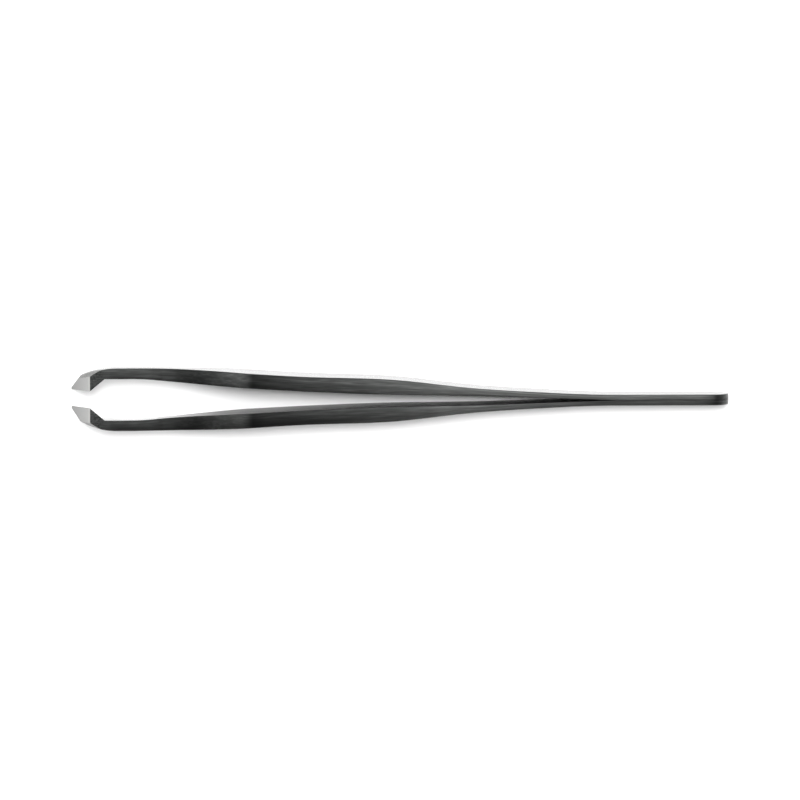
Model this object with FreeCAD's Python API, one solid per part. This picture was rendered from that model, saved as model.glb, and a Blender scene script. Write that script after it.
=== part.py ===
"""Oblique-head cutting tweezers in coated spring steel, lying on their side.

Two mirror-image arms are welded flat to each other at the rear. Each arm is a thin spring
leaf at the joint, a thick grip, a slender neck and a hooked head that ends in an oblique
cutting edge. Sizes are in millimetres. The arm is drawn with its far tip at x = 0, running
towards +X to the joint, with y = 0 as the plane between the arms and z across its width.
"""

import FreeCAD, Part
import math
import os

from FreeCAD import Vector

# Lengths, counted from the far tip
length = 115.0
weld_length = 19.0
neck_front = 11.0
neck_rear = 16.0
grip_front = 26.0
shoulder_from_tip = 31.0
grip_middle = 42.0
grip_rear = 57.0
taper_middle = 68.0
leaf_front = 82.0

# Widths across the flat faces
shoulder_width = 9.0
rear_width = 5.5
neck_width = 3.3
head_width = 4.2
waist_width = 5.7
shoulder_slope_deg = 8.0

# Gaps between the two arms
edge_gap = 2.86
mouth_gap = 7.24
neck_rear_gap = 6.60
grip_front_gap = 5.06
grip_middle_gap = 3.20
grip_rear_gap = 2.08
taper_gap = 1.76
leaf_gap = 0.90

# Thickness of one arm
neck_thickness = 1.88
neck_rear_thickness = 2.14
grip_thickness = 2.57
taper_thickness = 1.50
leaf_thickness = 0.96

# The head: oblique cut, inner bevel, rounded back and the relief ground on its near side
cut_angle_deg = 38.3
bevel_angle_deg = 40.0
tip_height = 0.40
crown_height = 1.50
crown_length = 6.5
crown_slope_deg = 53.0
relief_height = 1.50
relief_length = 2.8
relief_bulge = 0.13

# The long edges: a radius around the outer face, and a small break around the inner face
outer_edge_radius = 0.15
inner_edge_break = 0.06

# How far a cutting tool stands past what it cuts
clear = 1.0

# Which faces count as the flat sides of the strip, and which as the walls of its outline
flat_within_deg = 25.0
wall_within_deg = 6.0

half_mouth = mouth_gap / 2
half_edge = edge_gap / 2
half_head = head_width / 2
back_height = half_mouth + neck_thickness
rear_radius = rear_width / 2
weld_front = length - weld_length

# The cutting edge runs from the near corner to the far tip, along this slanting direction
cut_run = head_width * math.tan(math.radians(cut_angle_deg))
along_cut = Vector(cut_run, 0, head_width)
bevel_run = (half_mouth - half_edge) / math.tan(math.radians(bevel_angle_deg))


def line(a, b):
    """A straight edge between two points."""
    return Part.LineSegment(a, b).toShape()


def polyline(points):
    """Straight edges through the points, in order."""
    return [line(a, b) for a, b in zip(points, points[1:])]


def curve(points, first, last):
    """A smooth edge through the points, with its directions at the first and the last."""
    spline = Part.BSplineCurve()
    spline.interpolate(
        Points=points,
        InitialTangent=Vector(first).normalize(),
        FinalTangent=Vector(last).normalize(),
    )
    return spline.toShape()


def prism(edges, direction):
    """A closed outline pushed along a direction."""
    outline = Part.Wire(Part.__sortEdges__(edges))
    return Part.Face(outline).extrude(direction)


def stations():
    """Points on the arm's inner and outer face, seen from above, from the neck to the weld."""
    rows = [
        (neck_front, mouth_gap, neck_thickness),
        (neck_rear, neck_rear_gap, neck_rear_thickness),
        (grip_front, grip_front_gap, grip_thickness),
        (grip_middle, grip_middle_gap, grip_thickness),
        (grip_rear, grip_rear_gap, grip_thickness),
        (taper_middle, taper_gap, taper_thickness),
        (leaf_front, leaf_gap, leaf_thickness),
        (weld_front, 0, leaf_thickness),
    ]
    inner = [Vector(x, gap / 2, 0) for x, gap, thickness in rows]
    outer = [Vector(x, gap / 2 + thickness, 0) for x, gap, thickness in rows]
    return inner, outer


def side_profile():
    """The arm seen from above, with the head still a full block down to the cutting edge."""
    level = Vector(1, 0, 0)
    inner, outer = stations()
    closing = inner[-1] - inner[-2]
    hook = Vector(cut_run + bevel_run, half_mouth, 0)
    tip = Vector(0, half_edge, 0)
    tip_back = tip + Vector(0, tip_height, 0)
    crown_rise = back_height - crown_height - tip_back.y
    crown = tip_back + Vector(crown_rise / math.tan(math.radians(crown_slope_deg)), crown_rise, 0)
    flat = Vector(crown.x + crown_length, back_height, 0)
    crown_radius = (crown_length ** 2 + crown_height ** 2) / (2 * crown_height)
    half_turn = math.asin(crown_length / crown_radius) / 2
    middle = flat + Vector(
        -crown_radius * math.sin(half_turn),
        -crown_radius * (1 - math.cos(half_turn)),
        0,
    )
    edges = polyline([tip, tip_back, crown])
    edges.append(Part.Arc(crown, middle, flat).toShape())
    edges.append(line(flat, outer[0]))
    edges.append(curve(outer, level, level))
    edges += polyline([outer[-1], Vector(length, leaf_thickness, 0), Vector(length, 0, 0), inner[-1]])
    edges.append(curve(inner, level, closing))
    edges += polyline([inner[0], hook, Vector(hook.x, half_edge, 0), tip])
    return edges


def plan_outline():
    """The arm's flat outline: round rear end, straight taper, shoulder, neck and head."""
    shoulder = Vector(shoulder_from_tip, 0, shoulder_width / 2)
    neck = Vector(neck_rear, 0, neck_width / 2)
    waist = Vector((shoulder_from_tip + neck_rear) / 2, 0, waist_width / 2)
    slope = math.radians(shoulder_slope_deg)
    leave = Vector(-math.cos(slope), 0, -math.sin(slope))
    rear = Vector(length - rear_radius, 0, rear_radius)
    head = Vector(cut_run + bevel_run + clear, 0, half_head)
    front = Vector(-clear, 0, half_head)
    upper = [
        line(rear, shoulder),
        curve([shoulder, waist, neck], leave, Vector(-1, 0, 0)),
        line(neck, head),
        line(head, front),
    ]
    lower = [edge.mirror(Vector(0, 0, 0), Vector(0, 0, 1)) for edge in upper]
    ends = [
        line(front, Vector(front.x, 0, -front.z)),
        Part.Arc(rear, Vector(length, 0, 0), Vector(rear.x, 0, -rear.z)).toShape(),
    ]
    return upper + lower + ends


def slanted_tool(edges):
    """A tool drawn in the plane of the near edge and pushed through along the cutting edge."""
    past = clear / head_width
    start = Vector(along_cut) * past
    for edge in edges:
        edge.translate(Vector(0, 0, half_head) + start)
    return prism(edges, along_cut * -(1 + 2 * past))


def bevel_tool():
    """What the inner bevel removes between the hook's corner and the cutting edge."""
    hook = Vector(cut_run + bevel_run, half_mouth, 0)
    edge = Vector(cut_run, half_edge, 0)
    run_on = (edge - hook).normalize() * clear
    below = edge + run_on
    reach = hook.x + cut_run + clear / 2
    return slanted_tool(polyline([
        hook,
        below,
        Vector(reach, below.y, 0),
        Vector(reach, half_mouth, 0),
        hook,
    ]))


def relief_tool():
    """What is ground off the back of the head on its near side, leaving a rounded facet."""
    top = Vector(cut_run + relief_length, back_height, 0)
    foot = Vector(cut_run, back_height - relief_height, 0)
    chord = top - foot
    across = Vector(-chord.y, chord.x, 0).normalize()
    middle = (top + foot) * 0.5 + across * relief_bulge
    front = Vector(-clear, foot.y - relief_height, 0)
    ceiling = back_height + clear
    edges = [Part.Arc(foot, middle, top).toShape()]
    edges += polyline([
        top,
        Vector(top.x, ceiling, 0),
        Vector(front.x, ceiling, 0),
        front,
        foot,
    ])
    return slanted_tool(edges)


def front_tool():
    """What lies in front of the oblique front face."""
    near = Vector(cut_run, 0, half_head) + along_cut
    far = Vector(0, 0, -half_head) - along_cut
    aside = Vector(-2 * cut_run, 0, 0)
    return prism(polyline([near, far, far + aside, near + aside, near]), Vector(0, 2 * back_height, 0))


def face_direction(face):
    """The outward direction at the middle of a face."""
    u_low, u_high, v_low, v_high = face.ParameterRange
    return face.normalAt((u_low + u_high) / 2, (v_low + v_high) / 2)


def long_edges(arm, side, front):
    """The edges around a flat face behind x = front: side is 1 for the outer face, -1 for the inner."""
    flat_from = math.cos(math.radians(flat_within_deg))
    wall_to = math.sin(math.radians(wall_within_deg))
    flats = [face for face in arm.Faces if side * face_direction(face).y > flat_from]
    walls = [face for face in arm.Faces if abs(face_direction(face).y) < wall_to]
    outline = [edge for wall in walls for edge in wall.Edges]
    return [
        edge
        for flat in flats
        for edge in flat.Edges
        if edge.BoundBox.XMin > front - clear and any(edge.isSame(other) for other in outline)
    ]


def right_arm():
    """The arm on the +Y side."""
    side = prism(side_profile(), Vector(0, 0, shoulder_width + 2 * clear))
    side.translate(Vector(0, 0, -shoulder_width / 2 - clear))
    plan = prism(plan_outline(), Vector(0, back_height + clear, 0))
    plan.translate(Vector(0, -clear / 2, 0))
    arm = side.common(plan)
    for tool in (bevel_tool(), relief_tool(), front_tool()):
        arm = arm.cut(tool)
    arm = arm.removeSplitter().Solids[0]
    arm = arm.makeFillet(outer_edge_radius, long_edges(arm, 1, neck_front))
    return arm.makeChamfer(inner_edge_break, long_edges(arm, -1, shoulder_from_tip))


def laid_down(arm):
    """The arm turned so that its tapered edge lies on z = 0, with the part centred on x = 0."""
    taper_run = length - rear_radius - shoulder_from_tip
    tilt = math.atan2(shoulder_width / 2 - rear_radius, taper_run)
    lowest = -shoulder_from_tip * math.sin(tilt) - shoulder_width / 2 * math.cos(tilt)
    front = -half_head * math.sin(tilt)
    rear = (length - rear_radius) * math.cos(tilt) + rear_radius
    placed = arm.copy()
    placed.rotate(Vector(0, 0, 0), Vector(0, 1, 0), math.degrees(tilt))
    placed.translate(Vector(-(front + rear) / 2, 0, -lowest))
    return placed


def main():
    os.makedirs("parts", exist_ok=True)
    right = laid_down(right_arm())
    left = right.mirror(Vector(0, 0, 0), Vector(0, 1, 0))
    for name, arm in (("right_arm", right), ("left_arm", left)):
        print(name, "valid", arm.isValid(), "volume", round(arm.Volume, 2), "mm3")
        arm.exportStep(f"parts/{name}.step")


main()
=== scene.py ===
"""Finish, light and view of the oblique-head tweezers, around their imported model."""

import math

import bpy
from mathutils import Euler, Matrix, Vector


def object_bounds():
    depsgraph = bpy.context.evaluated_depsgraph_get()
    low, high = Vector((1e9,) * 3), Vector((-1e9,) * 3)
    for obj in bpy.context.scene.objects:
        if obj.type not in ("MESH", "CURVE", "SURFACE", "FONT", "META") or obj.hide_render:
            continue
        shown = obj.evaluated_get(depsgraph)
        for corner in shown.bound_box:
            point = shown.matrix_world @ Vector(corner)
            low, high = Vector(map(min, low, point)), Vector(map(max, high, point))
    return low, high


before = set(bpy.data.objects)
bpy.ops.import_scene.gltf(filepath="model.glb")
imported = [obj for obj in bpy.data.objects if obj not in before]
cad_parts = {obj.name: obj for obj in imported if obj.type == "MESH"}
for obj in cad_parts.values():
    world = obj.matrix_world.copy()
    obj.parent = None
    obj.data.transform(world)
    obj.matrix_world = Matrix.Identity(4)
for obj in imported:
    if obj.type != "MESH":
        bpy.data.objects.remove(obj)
cad_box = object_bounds()

# How the photograph frames the tweezers, in pixels
PICTURE_SIDE = 800
LENGTH_IN_PICTURE = 657
CENTRE_ROW = 399.75

# The camera looks down, leans towards the right arm and is turned a little, with a long lens
LEAN = math.radians(5.8)
TURN = math.radians(0.1)
LENS = 0.250
SENSOR = 0.036
NEAREST_SEEN = 0.01
FARTHEST_SEEN = 20
MM_PER_M = 1000

# Heights of the neck and rear edges, and of the two ends that the length runs between
EDGE_HEIGHT = 0.006
END_HEIGHT = 0.003

# Linear colours of the finishes
BLACK = (0, 0, 0)
FACE_COATING = (0.008, 0.0083, 0.0081)
FACE_COATING_RUBBED = (0.030, 0.0307, 0.0302)
EDGE_COATING = (0.118, 0.122, 0.119)
EDGE_COATING_RUBBED = (0.300, 0.306, 0.301)
FRONT_STEEL = (0.340, 0.340, 0.335)
# Painted shade: the front face's colour at its lower, far border
FRONT_STEEL_PAINTED_SHADE = (0.240, 0.240, 0.237)
# Painted highlight: the front face's colour along its burr
FRONT_STEEL_BURR_HIGHLIGHT = (0.385, 0.385, 0.379)
BACK_STEEL = (0.285, 0.285, 0.281)
BACK_STEEL_SCORED = (0.140, 0.140, 0.138)
PAPER = (0.90, 0.90, 0.90)

# Roughness of the finishes, and how strongly the coating and the paper reflect
COATING_ROUGHNESS = 0.36
RUBBED_ROUGHNESS = 0.28
FRONT_ROUGHNESS = 0.38
BACK_ROUGHNESS = 0.50
GLOSS_ROUGHNESS = 0.12
PAPER_ROUGHNESS = 0.9
COATING_REFLECTION = 0.15
PAPER_REFLECTION = 0.1

# Width and length of the lines in each use of the brushing pattern
BRUSHED_LINES = (0.00016, 0.012)
SCORED_LINES = (0.00011, 0.0009)
SPECKLES = (0.00030, 0.00034)

# Range of the pattern's noise that becomes a line or a streak, the scale of the place for streaks, which
# makes them longer and broader, and the detail of the noise
LINE_RANGE = (0.32, 0.70)
STREAK_RANGE = (0.34, 0.68)
STREAK_STRETCH = (0.55, 0.21, 0.21)
LINE_DETAIL = 3.0
STREAK_DETAIL = 2.0

# Relief of the brushing
BRUSHING_STRENGTH = 0.3
BRUSHING_DEPTH = 0.00001

# Side of the white floor
PAPER_SIDE = 1.6

# Lights that whiten the paper and show in no reflection: name, lean to the right in degrees, size,
# radiance
PAPER_LIGHT_DISTANCE = 1.2
PAPER_LIGHTS = (
    ("overhead", 13.5, (0.45, 0.32), 26.0),
    ("right", 45, (1.0, 0.97), 3.0),
    ("left", -50, (1.0, 0.80), 0.8),
)

# The panel that the edges reflect: its lean to the right and to the rear, distance, size, radiance
PANEL = (12, -8, 0.6, (0.48, 0.40), 2.0)

# Brightness of the surround overhead and near the horizon, and how high the low part reaches
SKY_ABOVE = 0.30
SKY_LOW = 1.30
SKY_LOW_REACH = 0.80

# Where the arm is measured for its bend: from and to along the part, at this height, in this many places
BEND_FRONT = -0.050
BEND_REAR = 0.052
BEND_HEIGHT = 0.0045
BEND_STATIONS = 13

# Painted reflection and shade: how bright the coated edges look along the part, set to agree with the
# photograph, so the light and shade seen there are painted into their colour: place along the part, share
# of the full colour
EDGE_PAINTED_LIGHT = [
    (-0.0575, 0.47),
    (-0.0525, 0.42),
    (-0.0510, 0.36),
    (-0.0440, 0.33),
    (-0.0415, 0.23),
    (-0.0388, 0.145),
    (-0.0371, 0.145),
    (-0.0352, 0.19),
    (-0.0315, 0.38),
    (-0.0280, 0.38),
    (-0.0266, 0.24),
    (-0.0256, 0.10),
    (-0.0230, 0.15),
    (-0.0175, 0.23),
    (-0.0080, 0.37),
    (0.0010, 0.55),
    (0.0080, 0.81),
    (0.0200, 0.80),
    (0.0280, 0.85),
    (0.0350, 0.62),
    (0.0420, 0.80),
    (0.0500, 0.80),
    (0.0525, 0.82),
    (0.0540, 0.62),
    (0.0553, 0.36),
    (0.0575, 0.40),
]

# How far the narrow edges are rounded and lean outwards, and the joined bar's rounding at the rear,
# where the bar is two arms thick
EDGE_ROUNDNESS = 0.10
OUTWARD_LEAN = 0.03
BAR_ROUNDNESS = 0.16
ARMS_IN_BAR = 2
BAR_FRONT = 0.030
BAR_FULL = 0.040

# The edges lose their lean between these two places on the head
HEAD_REAR = -0.049
HEAD_FRONT = -0.052

# The coating on the inner faces is glossy in front of the first place and satin behind the second
GLOSSY_TO = -0.045
SATIN_FROM = -0.031

# Depth of the ground zone behind the oblique front face and of the honed bevel, and how softly and how
# unevenly their borders run
GROUND_DEPTH = 0.00215
HONED_DEPTH = 0.00045
BORDER_SOFTNESS = 0.00006
BORDER_WAVER = 0.00014

# Width of the painted highlight along the near border of the front face, where a burr catches the light,
# and the way the back is ground
BURR_HIGHLIGHT_WIDTH = 0.00024
GRINDING_ANGLE = math.radians(50)

# Two points, along and aside, of a line on the right arm's front face: beyond it the face is coloured and
# scored like the back of the head, because the photograph shows their border there; that darker colour is
# painted shade of a facet the shape lacks
SCORED_FACET_SHADE_LINE = ((-0.0562, 0.00352), (-0.0542, 0.00400))

# How much the coating on the outer faces shines, and where and how darkly the coated edges are speckled
OUTER_GLOSS = 0.76
SPECKLED_FROM = -0.0510
SPECKLED_TO = -0.0525
SPECKLE_DARKNESS = 0.65

# A face looks to the side when its direction leans at least this much that way
SIDEWAYS = 0.35

# The oblique front face looks forward and up by more than this, and to the side by less
FRONT_FORWARD = 0.5
FRONT_UPWARD = 0.4
FRONT_ASIDE = 0.05


def join(tree, source, target):
    """Links a socket to another, or sets a plain value."""
    if isinstance(source, bpy.types.NodeSocket):
        tree.links.new(source, target)
    else:
        target.default_value = source


def add(tree, kind, inputs=(), **settings):
    """Adds a node with its settings, and feeds its inputs by name or number."""
    made = tree.nodes.new(kind)
    for name, value in settings.items():
        setattr(made, name, value)
    for name, value in dict(inputs).items():
        join(tree, value, made.inputs[name])
    return made


def math_node(tree, operation, a, b=0.0):
    """One arithmetic step."""
    return add(tree, "ShaderNodeMath", {0: a, 1: b}, operation=operation).outputs[0]


def split(tree, vector):
    """The three parts of a vector."""
    return add(tree, "ShaderNodeSeparateXYZ", {0: vector}).outputs


def blend_colours(tree, share, first, second):
    """A colour between two, by a share from 0 to 1."""
    mixed = add(tree, "ShaderNodeMix", data_type="RGBA")
    join(tree, share, mixed.inputs["Factor"])
    for name, colour in (("A", first), ("B", second)):
        if not isinstance(colour, bpy.types.NodeSocket):
            colour = (*colour, 1)
        join(tree, colour, mixed.inputs[name])
    return mixed.outputs["Result"]


def blend_values(tree, share, first, second):
    """A number between two, by a share from 0 to 1."""
    inputs = {"Factor": share, "A": first, "B": second}
    return add(tree, "ShaderNodeMix", inputs, data_type="FLOAT").outputs["Result"]


def ramp(tree, value, low, high):
    """A value spread from 0 at low to 1 at high."""
    inputs = {"Value": value, "From Min": low, "From Max": high}
    return add(tree, "ShaderNodeMapRange", inputs).outputs["Result"]


def noise(tree, place, detail):
    """Noise whose grains are one unit of the place wide."""
    inputs = {"Vector": place, "Scale": 1.0, "Detail": detail}
    return add(tree, "ShaderNodeTexNoise", inputs).outputs["Fac"]


def profile(tree, along, points, handles):
    """A number that follows a curve through (place, value) points along the part."""
    first, last = points[0][0], points[-1][0]
    largest = max(value for place, value in points)
    made = add(tree, "ShaderNodeFloatCurve", {"Value": ramp(tree, along, first, last)})
    drawn = made.mapping.curves[0].points
    for place, value in points[1:-1]:
        drawn.new((place - first) / (last - first), value / largest)
    drawn[0].location = (0, points[0][1] / largest)
    drawn[-1].location = (1, points[-1][1] / largest)
    for point in drawn:
        point.handle_type = handles
    made.mapping.update()
    return math_node(tree, "MULTIPLY", made.outputs[0], largest)


def new_group(name, inputs, outputs):
    """An empty node group with named sockets."""
    group = bpy.data.node_groups.new(name, "ShaderNodeTree")
    for label, kind in inputs.items():
        group.interface.new_socket(label, in_out="INPUT", socket_type=f"NodeSocket{kind}")
    for label, kind in outputs.items():
        group.interface.new_socket(label, in_out="OUTPUT", socket_type=f"NodeSocket{kind}")
    given = group.nodes.new("NodeGroupInput").outputs
    result = group.nodes.new("NodeGroupOutput").inputs
    return group, given, result


def arm_lines():
    """The arm's middle line and half thickness along the part, measured on the right arm."""
    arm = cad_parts["right_arm"]
    outside = cad_box[1].y * 2
    middles, halves = [], []
    for i in range(BEND_STATIONS):
        x = BEND_FRONT + (BEND_REAR - BEND_FRONT) * i / (BEND_STATIONS - 1)
        inner = arm.ray_cast(Vector((x, -outside, BEND_HEIGHT)), Vector((0, 1, 0)))[1]
        outer = arm.ray_cast(Vector((x, outside, BEND_HEIGHT)), Vector((0, -1, 0)))[1]
        middles.append((x, (inner.y + outer.y) / 2))
        halves.append((x, (outer.y - inner.y) / 2))
    return middles, halves


def edge_lean(tree, x, y, across, half, side):
    """How far the narrow edges lean aside: over each arm in front, over the joined bar at the rear."""
    arm_lean = math_node(tree, "MULTIPLY", math_node(tree, "MULTIPLY", across, side), EDGE_ROUNDNESS)
    arm_lean = math_node(tree, "ADD", arm_lean, math_node(tree, "MULTIPLY", side, OUTWARD_LEAN))
    arm_lean = math_node(tree, "MULTIPLY", arm_lean, ramp(tree, x, HEAD_FRONT, HEAD_REAR))
    over_bar = math_node(tree, "DIVIDE", y, half)
    bar_lean = math_node(tree, "MULTIPLY", over_bar, BAR_ROUNDNESS / ARMS_IN_BAR)
    return blend_values(tree, ramp(tree, x, BAR_FRONT, BAR_FULL), arm_lean, bar_lean)


def along_arm_group():
    """What follows the arm: straightened coordinates, the edges' lean and painted reflection and shade, the
    gloss and the sides.
    """
    group, given, result = new_group(
        "along_the_arm",
        {"Place": "Vector", "Direction": "Vector"},
        {
            "Straightened": "Vector",
            "Lean": "Float",
            "Painted Light": "Float",
            "Gloss": "Float",
            "Outer": "Float",
            "Inner": "Float",
        },
    )
    x, y, z = split(group, given["Place"])
    middles, halves = arm_lines()
    middle = profile(group, x, middles, "AUTO")
    half = profile(group, x, halves, "AUTO")
    side = math_node(group, "SIGN", y)
    aside = math_node(group, "SUBTRACT", math_node(group, "ABSOLUTE", y), middle)
    across = math_node(group, "DIVIDE", aside, half)
    # the arm's own side is added, so that the two arms don't share one pattern
    apart = math_node(group, "MULTIPLY", across, max(value for place, value in halves))
    apart = math_node(group, "ADD", apart, math_node(group, "MULTIPLY", side, cad_box[1].x))
    straightened = add(group, "ShaderNodeCombineXYZ", {0: x, 1: apart, 2: z}).outputs[0]
    join(group, straightened, result["Straightened"])
    # Painted reflection and shade: how bright the coated edges are along the part
    join(group, profile(group, x, EDGE_PAINTED_LIGHT, "VECTOR"), result["Painted Light"])
    join(group, edge_lean(group, x, y, across, half, side), result["Lean"])

    turned_out = math_node(group, "MULTIPLY", split(group, given["Direction"])["Y"], side)
    outer = math_node(group, "GREATER_THAN", turned_out, SIDEWAYS)
    inner = math_node(group, "LESS_THAN", turned_out, -SIDEWAYS)
    inner_gloss = math_node(group, "MULTIPLY", inner, ramp(group, x, SATIN_FROM, GLOSSY_TO))
    outer_gloss = math_node(group, "MULTIPLY", outer, OUTER_GLOSS)
    join(group, math_node(group, "MAXIMUM", inner_gloss, outer_gloss), result["Gloss"])
    join(group, outer, result["Outer"])
    join(group, inner, result["Inner"])
    return group


def brushing_group():
    """Fine lines that run along X: a mask of the lines, one of broader streaks, and a height."""
    group, given, result = new_group(
        "lengthwise_brushing",
        {"Place": "Vector", "Line Width": "Float", "Line Length": "Float"},
        {"Lines": "Float", "Streaks": "Float", "Height": "Float"},
    )
    x, y, z = split(group, given["Place"])
    along = math_node(group, "DIVIDE", x, given["Line Length"])
    across = math_node(group, "DIVIDE", y, given["Line Width"])
    upward = math_node(group, "DIVIDE", z, given["Line Width"])
    place = add(group, "ShaderNodeCombineXYZ", {0: along, 1: across, 2: upward}).outputs[0]
    stretched = {0: place, 1: STREAK_STRETCH}
    wide = add(group, "ShaderNodeVectorMath", stretched, operation="MULTIPLY").outputs[0]
    fine = noise(group, place, LINE_DETAIL)
    broad = noise(group, wide, STREAK_DETAIL)
    join(group, ramp(group, fine, *LINE_RANGE), result["Lines"])
    join(group, ramp(group, broad, *STREAK_RANGE), result["Streaks"])
    join(group, fine, result["Height"])
    return group


def front_face():
    """A point on the oblique front face, its outward direction, and its lowest and highest heights."""
    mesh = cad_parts["right_arm"].data
    facing = [
        face for face in mesh.polygons
        if face.normal.x < -FRONT_FORWARD
        and abs(face.normal.y) < FRONT_ASIDE
        and face.normal.z > FRONT_UPWARD
    ]
    largest = max(facing, key=lambda face: face.area)
    heights = [mesh.vertices[i].co.z for face in facing for i in face.vertices]
    return largest.center.copy(), largest.normal.copy(), min(heights), max(heights)


def beyond_scored_facet_line(tree, x, y):
    """How far a place on the front face lies beyond the line of the painted facet shade."""
    (x_from, y_from), (x_to, y_to) = SCORED_FACET_SHADE_LINE
    slope = (y_to - y_from) / (x_to - x_from)
    line = math_node(tree, "ADD", math_node(tree, "MULTIPLY", x, slope), y_from - slope * x_from)
    return math_node(tree, "SUBTRACT", y, line)


def ground_head_group():
    """Where the head is ground bare: its front face, its back with the honed bevel, the painted highlight
    along the burr, the painted facet shade beyond a line, and how near the front face's top border a place
    is.
    """
    group, given, result = new_group(
        "ground_head",
        {"Place": "Vector", "Outer": "Float", "Inner": "Float", "Waver": "Float"},
        {"Front": "Float", "Scored Facet Shade": "Float", "Sides": "Float", "Burr Highlight": "Float", "Nearness": "Float"},
    )
    point, outward, far, near = front_face()
    from_point = {0: given["Place"], 1: tuple(point)}
    offset = add(group, "ShaderNodeVectorMath", from_point, operation="SUBTRACT").outputs[0]
    behind = {0: offset, 1: tuple(-outward)}
    depth = add(group, "ShaderNodeVectorMath", behind, operation="DOT_PRODUCT").outputs["Value"]
    waver = math_node(group, "MULTIPLY", given["Waver"], BORDER_WAVER)

    def ground_to(limit):
        """1 where the surface is closer to the front plane than a limit, with a soft wavering border."""
        left = math_node(group, "SUBTRACT", math_node(group, "ADD", limit, waver), depth)
        return ramp(group, left, -BORDER_SOFTNESS, BORDER_SOFTNESS)

    back = math_node(group, "MULTIPLY", given["Outer"], ground_to(GROUND_DEPTH))
    bevel = math_node(group, "MULTIPLY", given["Inner"], ground_to(HONED_DEPTH))
    front = math_node(group, "LESS_THAN", depth, BORDER_SOFTNESS)
    x, y, level = split(group, given["Place"])
    # Painted shade: beyond the facet line the front face takes the back's colour and scoring
    beyond = math_node(group, "ADD", beyond_scored_facet_line(group, x, y), waver)
    scored_facet_shade = math_node(group, "MULTIPLY", front, ramp(group, beyond, 0, BORDER_WAVER))
    # Painted highlight: a bright band along the front face's near border, where the burr catches the light
    by_border = math_node(group, "GREATER_THAN", level, near - BURR_HIGHLIGHT_WIDTH)
    join(group, front, result["Front"])
    join(group, scored_facet_shade, result["Scored Facet Shade"])
    join(group, math_node(group, "MAXIMUM", back, bevel), result["Sides"])
    join(group, math_node(group, "MULTIPLY", front, by_border), result["Burr Highlight"])
    # Painted shade: how near a place is to the front face's top border, which sets its darkening lower down
    join(group, ramp(group, level, far, near), result["Nearness"])
    return group


def across_head(tree, place):
    """Coordinates turned so that their X runs up the back of either head, the way it is ground."""
    x, y, z = split(tree, place)
    mirrored = {0: x, 1: math_node(tree, "ABSOLUTE", y), 2: z}
    inputs = {
        "Vector": add(tree, "ShaderNodeCombineXYZ", mirrored).outputs[0],
        "Angle": -GRINDING_ANGLE,
    }
    return add(tree, "ShaderNodeVectorRotate", inputs, rotation_type="Z_AXIS").outputs[0]


def lay_pattern(tree, group, place, lines):
    """The brushing pattern at a place, with the width and length of its lines."""
    width, length = lines
    inputs = {"Place": place, "Line Width": width, "Line Length": length}
    return add(tree, "ShaderNodeGroup", inputs, node_tree=group).outputs


def coating_colour(tree, place, face, painted_light, brushed, speckled):
    """Black coating with rubbed lines: plain on the flat faces, speckled on the edges and given painted
    reflection and shade along them.
    """
    rubbed = math_node(tree, "MULTIPLY", brushed["Lines"], brushed["Streaks"])
    on_faces = blend_colours(tree, rubbed, FACE_COATING, FACE_COATING_RUBBED)
    on_edges = blend_colours(tree, rubbed, EDGE_COATING, EDGE_COATING_RUBBED)
    on_head = ramp(tree, split(tree, place)["X"], SPECKLED_FROM, SPECKLED_TO)
    speckle = math_node(tree, "MULTIPLY", speckled["Lines"], SPECKLE_DARKNESS)
    on_edges = blend_colours(tree, math_node(tree, "MULTIPLY", on_head, speckle), on_edges, BLACK)
    # Painted reflection and shade: the edges' colour is darkened along the part
    on_edges = blend_colours(tree, painted_light, BLACK, on_edges)
    return blend_colours(tree, face, on_edges, on_faces)


def steel_colour(tree, head, scored):
    """Ground steel: scored on the back and the bevel, lighter on the front face, with painted shade low on
    the front face and beyond its facet line, and a painted highlight along its burr.
    """
    sides = blend_colours(tree, scored["Lines"], BACK_STEEL, BACK_STEEL_SCORED)
    # Painted shade: the front face darkens towards its lower, far border
    front = blend_colours(tree, head["Nearness"], FRONT_STEEL_PAINTED_SHADE, FRONT_STEEL)
    # Painted shade of a missing facet, with the back's scoring, beyond the facet line
    front = blend_colours(tree, head["Scored Facet Shade"], front, sides)
    steel = blend_colours(tree, head["Front"], sides, front)
    # Painted highlight along the burr
    return blend_colours(tree, head["Burr Highlight"], steel, FRONT_STEEL_BURR_HIGHLIGHT)


def brushed_direction(tree, direction, lean, height):
    """The surface's direction with the edges' lean and the relief of the brushing."""
    leaning = {0: direction, 1: add(tree, "ShaderNodeCombineXYZ", {1: lean}).outputs[0]}
    rounded = add(tree, "ShaderNodeVectorMath", leaning, operation="ADD").outputs[0]
    inputs = {
        "Strength": BRUSHING_STRENGTH,
        "Distance": BRUSHING_DEPTH,
        "Height": height,
        "Normal": add(tree, "ShaderNodeVectorMath", {0: rounded}, operation="NORMALIZE").outputs[0],
    }
    return add(tree, "ShaderNodeBump", inputs).outputs[0]


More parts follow.
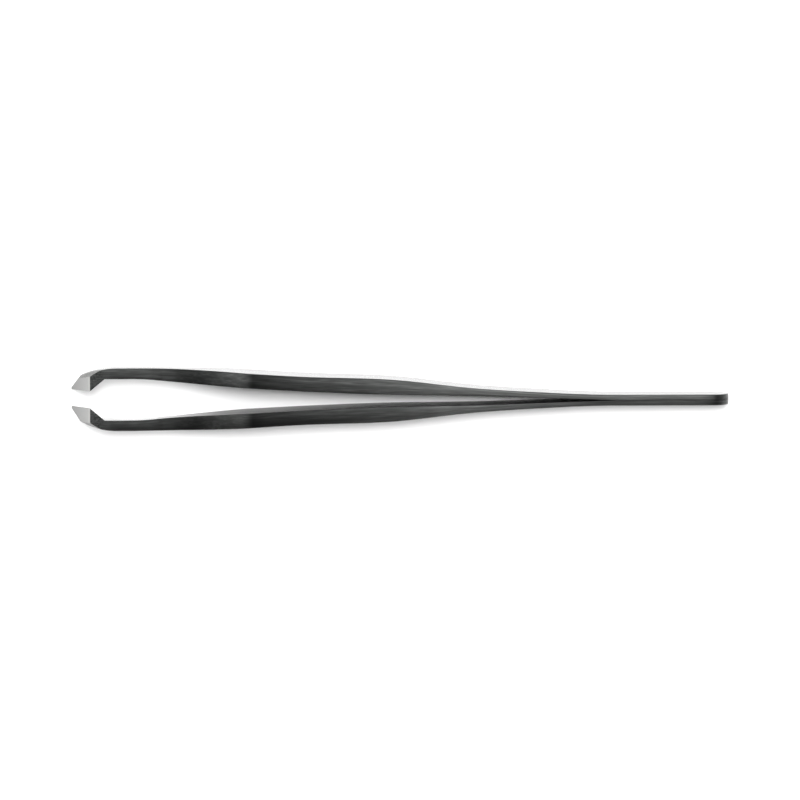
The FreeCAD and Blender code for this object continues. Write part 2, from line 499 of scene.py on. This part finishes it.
def coated_steel_finish():
    """Satin black anti-static coating over lengthwise brushing, ground off at the head."""
    material = bpy.data.materials.new("coated_steel_arm")
    material.use_nodes = True
    tree = material.node_tree
    shader = tree.nodes["Principled BSDF"].inputs
    place = add(tree, "ShaderNodeTexCoord").outputs["Object"]
    surface = add(tree, "ShaderNodeNewGeometry").outputs

    on_arm = {"Place": place, "Direction": surface["True Normal"]}
    arm = add(tree, "ShaderNodeGroup", on_arm, node_tree=along_arm_group()).outputs
    brushing = brushing_group()
    brushed = lay_pattern(tree, brushing, arm["Straightened"], BRUSHED_LINES)
    scored = lay_pattern(tree, brushing, across_head(tree, place), SCORED_LINES)
    speckled = lay_pattern(tree, brushing, place, SPECKLES)
    on_head = {
        "Place": place,
        "Outer": arm["Outer"],
        "Inner": arm["Inner"],
        "Waver": brushed["Streaks"],
    }
    head = add(tree, "ShaderNodeGroup", on_head, node_tree=ground_head_group()).outputs

    bare = math_node(tree, "MAXIMUM", head["Front"], head["Sides"])
    face = math_node(tree, "MAXIMUM", arm["Outer"], arm["Inner"])
    edge = math_node(tree, "SUBTRACT", 1.0, face)
    coating = coating_colour(tree, place, face, arm["Painted Light"], brushed, speckled)
    steel = steel_colour(tree, head, scored)
    coated_roughness = blend_values(tree, brushed["Lines"], COATING_ROUGHNESS, RUBBED_ROUGHNESS)
    bare_roughness = blend_values(tree, head["Sides"], FRONT_ROUGHNESS, BACK_ROUGHNESS)
    lean = blend_values(tree, bare, arm["Lean"], 0.0)
    direction = brushed_direction(tree, surface["Normal"], lean, brushed["Height"])

    join(tree, blend_colours(tree, bare, coating, steel), shader["Base Color"])
    join(tree, blend_values(tree, bare, coated_roughness, bare_roughness), shader["Roughness"])
    join(tree, math_node(tree, "MAXIMUM", bare, edge), shader["Metallic"])
    join(tree, blend_values(tree, bare, arm["Gloss"], 0.0), shader["Coat Weight"])
    join(tree, direction, shader["Normal"])
    shader["Coat Roughness"].default_value = GLOSS_ROUGHNESS
    shader["Specular IOR Level"].default_value = COATING_REFLECTION
    return material


def white_paper_finish():
    """The plain white paper that the tweezers lie on."""
    material = bpy.data.materials.new("white_paper")
    material.use_nodes = True
    shader = material.node_tree.nodes["Principled BSDF"].inputs
    shader["Base Color"].default_value = (*PAPER, 1)
    shader["Roughness"].default_value = PAPER_ROUGHNESS
    shader["Specular IOR Level"].default_value = PAPER_REFLECTION
    return material


def dress_arms():
    """Gives both arms their finish."""
    finish = coated_steel_finish()
    for node in ("right_arm", "left_arm"):
        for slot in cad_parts[node].material_slots:
            slot.material = finish


def lay_paper():
    """A large white floor under the tweezers."""
    bpy.ops.object.select_all(action="DESELECT")
    bpy.ops.mesh.primitive_plane_add(size=PAPER_SIDE, location=(0, 0, 0))
    floor = bpy.context.object
    floor.name = "paper_floor"
    floor.data.materials.append(white_paper_finish())


def add_softbox(name, lean_right, lean_rear, distance, size, radiance):
    """A rectangular light on a dome around the tweezers, leaning from overhead by two angles."""
    right, rear = math.radians(lean_right), math.radians(lean_rear)
    direction = Vector((math.tan(rear), math.tan(right), 1)).normalized()
    light = bpy.data.lights.new(name, "AREA")
    light.shape = "RECTANGLE"
    light.size, light.size_y = size
    light.energy = radiance * math.pi * size[0] * size[1]
    holder = bpy.data.objects.new(name, light)
    holder.location = direction * distance
    holder.rotation_euler = (-direction).to_track_quat("-Z", "Y").to_euler()
    bpy.context.scene.collection.objects.link(holder)
    return holder


def white_surround():
    """A plain white surround, brighter near the horizon than overhead."""
    world = bpy.data.worlds.new("white_surround")
    world.use_nodes = True
    tree = world.node_tree
    height = split(tree, add(tree, "ShaderNodeTexCoord").outputs["Generated"])["Z"]
    lowness = ramp(tree, height, SKY_LOW_REACH, 0.0)
    strength = blend_values(tree, lowness, SKY_ABOVE, SKY_LOW)
    background = tree.nodes["Background"].inputs
    background["Color"].default_value = (1, 1, 1, 1)
    join(tree, strength, background["Strength"])
    bpy.context.scene.world = world


def light_studio():
    """Lights that whiten the paper from overhead and both sides, and a panel that the edges reflect."""
    for name, lean_right, size, radiance in PAPER_LIGHTS:
        light = add_softbox(name, lean_right, 0, PAPER_LIGHT_DISTANCE, size, radiance)
        light.visible_glossy = False
    add_softbox("panel", *PANEL)
    white_surround()


def place_camera():
    """A long lens overhead, leaning towards the right arm, framed as the photograph is."""
    low, high = cad_box
    view_width = (high.x - low.x) * PICTURE_SIDE / LENGTH_IN_PICTURE
    distance = view_width * LENS / SENSOR + END_HEIGHT - EDGE_HEIGHT
    camera = bpy.data.cameras.new("overhead")
    camera.lens = LENS * MM_PER_M
    camera.sensor_width = SENSOR * MM_PER_M
    camera.clip_start = NEAREST_SEEN
    camera.clip_end = FARTHEST_SEEN
    holder = bpy.data.objects.new("overhead", camera)
    holder.rotation_euler = Euler((-LEAN, 0, TURN))
    turned = holder.rotation_euler.to_matrix()
    back, up = turned @ Vector((0, 0, 1)), turned @ Vector((0, 1, 0))
    row_offset = (CENTRE_ROW - PICTURE_SIDE / 2) * view_width / PICTURE_SIDE
    target = Vector(((low.x + high.x) / 2, 0, EDGE_HEIGHT)) + up * row_offset
    holder.location = target + back * distance
    bpy.context.scene.collection.objects.link(holder)
    bpy.context.scene.camera = holder


dress_arms()
lay_paper()
light_studio()
place_camera()
bpy.context.scene.view_settings.view_transform = "Standard"
